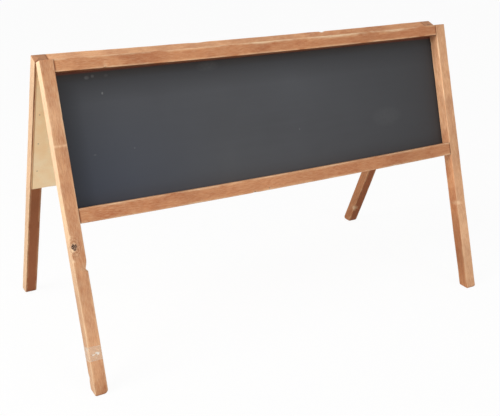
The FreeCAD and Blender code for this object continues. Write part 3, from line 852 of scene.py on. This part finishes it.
def make_board(which):
    name = f"{which}_board"
    low, high = upright_box(name, which)
    half_width, height = (high[0] - low[0]) / 2, high[2] - low[2]
    seed = SHEET_SEEDS[which]
    places, panel = [], []
    for side, y in enumerate((low[1], high[1])):
        for row in range(ROWS + 1):
            down = row / ROWS
            for column in range(COLUMNS + 1):
                part = 2 * column / COLUMNS - 1
                z = high[2] - down * height
                inset = SIDE_TRIM + SIDE_TAPER * (1 - down)
                x = part * (half_width - inset)
                if abs(part) == 1:
                    x += SIDE_RAGGED * wander(z, seed + (part > 0), 0.08)
                z -= BOARD_SAG * (1 - part ** 2)
                if row == ROWS:
                    z += FOOT_RAGGED * wander(x, seed + 3, 0.2)
                places.append((x, y, z))
                panel.append((x, high[2] - z, side * BACK_SHIFT + seed))
    wide = COLUMNS + 1
    back = wide * (ROWS + 1)
    faces, materials = [], []

    def face(corners, material):
        faces.append(corners)
        materials.append(material)

    for row in range(ROWS):
        for column in range(COLUMNS):
            a = row * wide + column
            quad = (a, a + 1, a + wide + 1, a + wide)
            face(quad, PAINTED)
            face(tuple(back + corner for corner in reversed(quad)), BARE)
    rim = list(range(wide))
    rim += [row * wide + COLUMNS for row in range(1, ROWS + 1)]
    rim += [ROWS * wide + column for column in reversed(range(COLUMNS))]
    rim += [row * wide for row in reversed(range(1, ROWS))]
    for a, b in zip(rim, rim[1:] + rim[:1]):
        face((a, b, back + b, back + a), BARE)
    board = finish_mesh(name + "_sheet", which, places, faces, {"panel": panel},
                        [PAINT, FIBRE], materials)
    board.data.set_sharp_from_angle(angle=math.radians(40))
    settle(board, which, "blackboard", name)


for which in HAND:
    make_board(which)

# %% [markdown]
# ## Nails and screws
#
# Nail and screw heads repeat, so Geometry Nodes place them. The places are read from the
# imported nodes: each fastener is one island of that mesh, and its middle is where it stands.
# A tree turns every point into a head, turned a random amount about its own axis, and its
# sizes are named inputs. Realize Instances and Set Material come last, and the result is
# made a plain mesh, one for each frame.

# %% Where the fasteners are
ISLAND_GAP = 0.006  # points nearer than this, in x and z, belong to one fastener


def island_middles(node, which):
    """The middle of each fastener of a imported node, in x and z, with the head's y."""
    points = node_points(node, which)
    islands = []
    for point in points:
        for island in islands:
            if math.hypot(island[0][0] - point[0], island[0][2] - point[2]) < ISLAND_GAP:
                island.append(point)
                break
        else:
            islands.append([point])
    middles = [(np.min(island, 0) + np.max(island, 0)) / 2 for island in islands]
    return [(middle[0], points[:, 1].max(), middle[2]) for middle in middles]


print("nails in a board:", len(island_middles("front_board_nails", "front")))

# %% [markdown]
# The screws and hinges are zinc plated, and the nails are plain wire that has dulled. Both
# are one kind of shader: a metal with spots where it has aged, which are also rougher, and
# faint streaks left by drawing and rolling. So one function makes both.

# %% Zinc and steel
def metal(name, base, scratch, roughness, metallic=1.0):
    steel = Shader(name, Metallic=metallic)
    place = steel.own_place()
    spots = steel.noise(place, 260.0, detail=4.0)
    streaks = steel.noise(steel.stretched(place, (90.0, 1600.0, 1600.0)), 1.0, detail=2.0)
    tint = steel.mix(steel.spread(spots, 0.35, 0.7), base, scratch)
    steel.bump(streaks, 0.10, 0.0002)
    return steel.finish(tint, steel.spread(spots, 0.3, 0.7, roughness, roughness + 0.25))


ZINC = metal("zinc_plate", colour(176, 176, 172), colour(120, 116, 108), 0.32)
NAIL_STEEL = metal("nail_wire", colour(206, 186, 156), colour(176, 152, 120), 0.62, metallic=0.3)
print("made", ZINC.name, "and", NAIL_STEEL.name)

# %% [markdown]
# Now the tree. `HeadTree` makes one with its named inputs and keeps its wiring short, one
# function makes each shape of head, and `head_tree` puts that shape on every point.

# %% Tree helper
HEAD_INPUTS = {"Head radius": "Float", "Head height": "Float", "Recess width": "Float",
               "Turn": "Rotation", "Finish": "Material"}


class HeadTree:
    """A Geometry Nodes tree with a head's inputs, and short ways to wire nodes in it."""

    def __init__(self, name):
        self.tree = bpy.data.node_groups.new(name, "GeometryNodeTree")
        self.tree.is_modifier = True
        sockets = self.tree.interface
        sockets.new_socket("Geometry", in_out="INPUT", socket_type="NodeSocketGeometry")
        for title, kind in HEAD_INPUTS.items():
            sockets.new_socket(title, in_out="INPUT", socket_type="NodeSocket" + kind)
        sockets.new_socket("Geometry", in_out="OUTPUT", socket_type="NodeSocketGeometry")
        self.given = self.add("NodeGroupInput").outputs

    def add(self, kind, **settings):
        node = self.tree.nodes.new(kind)
        for key, value in settings.items():
            setattr(node, key, value)
        return node

    def join(self, source, target):
        self.tree.links.new(source, target)

    def times(self, source, factor):
        node = self.add("ShaderNodeMath", operation="MULTIPLY")
        self.join(source, node.inputs[0])
        node.inputs[1].default_value = factor
        return node.outputs[0]

    def vector(self, *sources):
        node = self.add("ShaderNodeCombineXYZ")
        for source, socket in zip(sources, node.inputs):
            if source is not None:
                self.join(source, socket)
        return node.outputs[0]


print("a tree has", len(HEAD_INPUTS), "inputs besides its points")

# %% The two shapes of head
SCREW_SIDES, NAIL_SIDES, NAIL_RINGS = 24, 16, 8
RECESS_REACH, RECESS_LIFT = 1.24, 0.45  # in head radii, and in head heights


def nail_dome(heads):
    """A ball of one metre's radius, squashed to a nail's low dome."""
    radius, height = heads.given["Head radius"], heads.given["Head height"]
    ball = heads.add("GeometryNodeMeshUVSphere")
    for title, value in (("Segments", NAIL_SIDES), ("Rings", NAIL_RINGS), ("Radius", 1.0)):
        ball.inputs[title].default_value = value
    squash = heads.add("GeometryNodeTransform")
    heads.join(ball.outputs["Mesh"], squash.inputs["Geometry"])
    heads.join(heads.vector(radius, radius, height), squash.inputs["Scale"])
    return squash.outputs[0]


def screw_disc(heads):
    """A flat disc with a crossed recess cut into it."""
    radius, height = heads.given["Head radius"], heads.given["Head height"]
    disc = heads.add("GeometryNodeMeshCylinder", fill_type="NGON")
    disc.inputs["Vertices"].default_value = SCREW_SIDES
    heads.join(radius, disc.inputs["Radius"])
    heads.join(height, disc.inputs["Depth"])
    shape = disc.outputs["Mesh"]
    reach, width = heads.times(radius, RECESS_REACH), heads.given["Recess width"]
    for size_x, size_y in ((reach, width), (width, reach)):
        cutter = heads.add("GeometryNodeMeshCube")
        heads.join(heads.vector(size_x, size_y, height), cutter.inputs["Size"])
        lift, rise = heads.add("GeometryNodeTransform"), heads.times(height, RECESS_LIFT)
        heads.join(cutter.outputs["Mesh"], lift.inputs["Geometry"])
        heads.join(heads.vector(None, None, rise), lift.inputs["Translation"])
        carve = heads.add("GeometryNodeMeshBoolean", operation="DIFFERENCE", solver="EXACT")
        heads.join(shape, carve.inputs[0])
        heads.join(lift.outputs[0], carve.inputs[1])
        shape = carve.outputs["Mesh"]
    return shape


print("a screw's recess is", RECESS_REACH, "head radii from end to end")

# %% A head on every point
TURN_SEED = 7


def head_tree(name, make_head):
    """Heads on points, each turned a random amount about its own axis."""
    heads = HeadTree(name)
    add, join, given = heads.add, heads.join, heads.given
    shape = make_head(heads)
    points = add("GeometryNodeMeshToPoints")
    join(given["Geometry"], points.inputs["Mesh"])
    spin = add("FunctionNodeRandomValue", data_type="FLOAT")
    spin.inputs[3].default_value = 2 * math.pi
    spin.inputs["Seed"].default_value = TURN_SEED
    about = add("FunctionNodeEulerToRotation")
    join(heads.vector(None, None, spin.outputs[1]), about.inputs[0])
    turned = add("FunctionNodeRotateRotation", rotation_space="LOCAL")
    join(given["Turn"], turned.inputs[0])
    join(about.outputs[0], turned.inputs[1])
    place = add("GeometryNodeInstanceOnPoints")
    join(points.outputs[0], place.inputs["Points"])
    join(shape, place.inputs["Instance"])
    join(turned.outputs[0], place.inputs["Rotation"])
    real = add("GeometryNodeRealizeInstances")
    join(place.outputs[0], real.inputs[0])
    finish = add("GeometryNodeSetMaterial")
    join(real.outputs[0], finish.inputs["Geometry"])
    join(given["Finish"], finish.inputs["Material"])
    join(finish.outputs[0], add("NodeGroupOutput").inputs[0])
    return heads.tree


nail_heads, screw_heads = head_tree("nail_heads", nail_dome), head_tree("screw_heads", screw_disc)
print("nodes in the trees:", len(nail_heads.nodes), "and", len(screw_heads.nodes))

# %% [markdown]
# A modifier's inputs are set by each socket's identifier, before the object is first
# evaluated. Heads face away from the timber, which is +y upright, so the tree's turn takes a
# head's own z there.

# %% Make the heads
def run_tree(name, tree, places, which, values):
    seeds = bpy.data.meshes.new(name + "_places")
    seeds.from_pydata(stand(places, which).tolist(), [], [])
    holder = bpy.data.objects.new(name + "_places", seeds)
    bpy.context.scene.collection.objects.link(holder)
    modifier = holder.modifiers.new("heads", "NODES")
    modifier.node_group = tree
    for item in tree.interface.items_tree:
        if item.name in values:
            modifier[item.identifier] = values[item.name]
    bpy.context.view_layer.update()
    ready = holder.evaluated_get(bpy.context.evaluated_depsgraph_get())
    mesh = bpy.data.meshes.new_from_object(ready)
    holder.modifiers.remove(modifier)
    bpy.data.objects.remove(holder)
    mesh.name = name
    mesh.set_sharp_from_angle(angle=math.radians(35))
    piece = bpy.data.objects.new(name, mesh)
    bpy.context.scene.collection.objects.link(piece)
    return piece


NAIL_HEAD, NAIL_RISE = 0.0018, 0.0004
SCREW_HEAD, SCREW_THICK, RECESS = 0.0029, 0.0012, 0.0008


def away_from_timber(which):
    """The turn that takes a head's own z to +y upright, away from the timber."""
    normal = Vector((stand([(0, 1, 0)], which) - stand([(0, 0, 0)], which))[0])
    return normal.to_track_quat("Z", "X").to_euler()


for which in HAND:
    away = away_from_timber(which)
    nail_node, screw_node = f"{which}_board_nails", f"{which}_hinge_screws"
    nails = run_tree(f"{which}_nail_heads", nail_heads, island_middles(nail_node, which), which,
                     {"Head radius": NAIL_HEAD, "Head height": NAIL_RISE, "Turn": away,
                      "Finish": NAIL_STEEL})
    settle(nails, which, "nail_steel", nail_node)
    sunk = [(x, y - SCREW_THICK / 2, z) for x, y, z in island_middles(screw_node, which)]
    screws = run_tree(f"{which}_screw_heads", screw_heads, sunk, which,
                      {"Head radius": SCREW_HEAD, "Head height": SCREW_THICK,
                       "Recess width": RECESS, "Turn": away, "Finish": ZINC})
    settle(screws, which, "hinge_steel", screw_node)

# %% [markdown]
# ## Hinges and dowels
#
# The hinge leaves, their pins and the dowels are already the right shape, so the packed
# pieces stay and only get a finish: zinc for the hinges and pale beech for the dowels.

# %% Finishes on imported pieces
BEECH_PALE, BEECH_BROWN = colour(214, 182, 138), colour(180, 140, 98)


def raw_beech():
    beech = Shader("raw_beech", Specular_IOR_Level=0.3)
    place = beech.own_place()
    fibres = beech.noise(beech.stretched(place, (60.0, 900.0, 900.0)), 1.0, detail=3.0)
    beech.bump(fibres, 0.2, 0.0003)
    tint = beech.mix(beech.spread(fibres, 0.35, 0.7), BEECH_PALE, BEECH_BROWN)
    return beech.finish(tint, beech.spread(fibres, 0.3, 0.7, 0.5, 0.7))


BEECH = raw_beech()
FINISHES = {"hinge": ZINC, "dowels": BEECH}
finished = []
for name, piece in frame["nodes"].items():
    for word, finish in FINISHES.items():
        if word in name and not name.endswith("screws"):
            piece.data.materials.clear()
            piece.data.materials.append(finish)
            finished.append(name)
print("finished", len(finished), "packed pieces")

# %% [markdown]
# ## The tape
#
# One leg has a turn of clear tape round it. It is thin, a little loose at its edges and
# scuffed white, so the wood shows through it except where it has lifted. It could be painted
# on the wood, but tape has an edge and a gloss of its own, so it is a separate thin skin.

# %% Tape
TAPE_CLEAR, TAPE_WHITE = colour(248, 232, 206), colour(250, 244, 234)
TAPE_ROWS, TAPE_CORNER, TAPE_SLACK = 14, 0.0019, 0.0002
EDGE_INSET, EDGE_WANDER = 0.0006, 0.0012  # the tape's two edges, in its packed width
EDGE_WHITE, EDGE_PART = 0.26, 0.07
SCUFF_SHIFT = 0.007


def clear_tape():
    tape = Shader("clear_tape", Roughness=0.22)
    place = tape.stretched(tape.attribute("grain"), (85.0, 85.0, 120.0))
    scuffs = tape.noise(place, 1.0, detail=4.0, distortion=0.4)
    edge = tape.parts(tape.attribute("marks"))[0]
    white = tape.maths("MAXIMUM", tape.spread(scuffs, 0.60, 0.68, 0.0, 0.9), edge)
    tape.feed(tape.surface.inputs["Alpha"], tape.spread(white, 0.0, 1.0, 0.32, 0.85))
    tape.bump(scuffs, 0.3, 0.0004)
    return tape.finish(tape.mix(white, TAPE_CLEAR, TAPE_WHITE))


def make_tape(name, which, finish):
    low, high = upright_box(name, which)
    centre, size = (low + high) / 2, high - low
    ring, _ = ring_points(size[0] - TAPE_SLACK, size[1] - TAPE_SLACK, [TAPE_CORNER] * 4)
    places, grain, marks, faces = [], [], [], []
    for row in range(TAPE_ROWS + 1):
        part = row / TAPE_ROWS
        near_edge = max(0.0, 1 - min(part, 1 - part) / EDGE_PART)
        for across, through in ring:
            wide = size[2] - 2 * EDGE_INSET + EDGE_WANDER * wander(across + through, 41, 0.06)
            z = low[2] + EDGE_INSET + part * wide
            places.append((centre[0] + across, centre[1] + through, z))
            grain.append((across, through, z + SCUFF_SHIFT))
            marks.append((EDGE_WHITE * near_edge, 0.0, 0.0))
    count = len(ring)
    for row in range(TAPE_ROWS):
        for number in range(count):
            a, b = row * count + number, row * count + (number + 1) % count
            faces.append((a, b, b + count, a + count))
    band = finish_mesh(name + "_band", which, places, faces, {"grain": grain, "marks": marks},
                       [finish])
    settle(band, which, "tape", name)


make_tape("leg_tape", "front", clear_tape())

# %% [markdown]
# ## Floor and light
#
# The floor and what is behind it are plain white, with a strength of one where the camera
# sees the background. A large soft lamp on the left makes the side faces bright, and a wide
# weak one in front and the pale world fill the shade.

# %% Rays that see the background
BACKGROUND_RAYS = ("Is Camera Ray", "Is Glossy Ray", "Is Transmission Ray")


def sees_background(tree):
    """1 for a ray from the camera, or one that a shiny or a clear surface sends on, or 0."""
    path = tree.nodes.new("ShaderNodeLightPath")
    seen = path.outputs[BACKGROUND_RAYS[0]]
    for ray in BACKGROUND_RAYS[1:]:
        either = tree.nodes.new("ShaderNodeMath")
        either.operation = "MAXIMUM"
        tree.links.new(seen, either.inputs[0])
        tree.links.new(path.outputs[ray], either.inputs[1])
        seen = either.outputs[0]
    return seen


print("the background shows to", len(BACKGROUND_RAYS), "kinds of ray")

# %% Floor
FLOOR_HALF = 60.0
FLOOR_GLOW = 0.94  # how much of the floor is plain white, and the rest shows the shadow


def make_floor():
    floor = bpy.data.meshes.new("floor")
    corners = [(x * FLOOR_HALF, y * FLOOR_HALF, 0) for x, y in ((-1, -1), (1, -1), (1, 1), (-1, 1))]
    floor.from_pydata(corners, [], [(0, 1, 2, 3)])
    piece = bpy.data.objects.new("floor", floor)
    bpy.context.scene.collection.objects.link(piece)
    pale = Shader("pale_floor", Roughness=0.9)
    lit = pale.surface.outputs[0]
    glow = pale.add("Emission", (1.0, 1.0, 1.0, 1.0), 1.0)
    both = pale.tree.nodes.new("ShaderNodeMixShader")
    share = pale.times(sees_background(pale.tree), FLOOR_GLOW)
    for socket, value in zip(both.inputs, (share, lit, glow)):
        pale.feed(socket, value)
    pale.feed(pale.output.inputs["Surface"], both.outputs[0])
    floor.materials.append(pale.finish(colour(246, 246, 246)))


make_floor()
print("floor laid")

# %% World
WORLD_LEVEL = 0.42  # how much the world lights the object, where 1 is white


def make_world():
    world = bpy.data.worlds.new("studio")
    bpy.context.scene.world = world
    world.use_nodes = True
    tree = world.node_tree
    surface = tree.nodes["Background"]
    level = tree.nodes.new("ShaderNodeMapRange")
    level.inputs["To Min"].default_value, level.inputs["To Max"].default_value = WORLD_LEVEL, 1.0
    tree.links.new(sees_background(tree), level.inputs["Value"])
    tree.links.new(level.outputs[0], surface.inputs["Strength"])
    surface.inputs["Color"].default_value = (1.0, 1.0, 1.0, 1.0)


make_world()
print("world level", WORLD_LEVEL)

# %% Lamps
LAMP_AIM, LAMP_TINT = (0, 0, 0.4), (1.0, 0.98, 0.95)
LAMPS = {"left_window": dict(place=(-3.4, -0.4, 2.6), size=2.2, power=105),
         "front_fill": dict(place=(1.2, -4.2, 2.2), size=2.6, power=58)}


def make_lamp(name, place, size, power):
    lamp = bpy.data.lights.new(name, "AREA")
    lamp.shape, lamp.size, lamp.energy, lamp.color = "SQUARE", size, power, LAMP_TINT
    holder = bpy.data.objects.new(name, lamp)
    bpy.context.scene.collection.objects.link(holder)
    holder.location = place
    aim = Vector(LAMP_AIM) - Vector(place)
    holder.rotation_euler = aim.to_track_quat("-Z", "Y").to_euler()


for name, settings in LAMPS.items():
    make_lamp(name, **settings)
bpy.context.scene.view_settings.view_transform = "Standard"
print("lamps:", ", ".join(LAMPS))
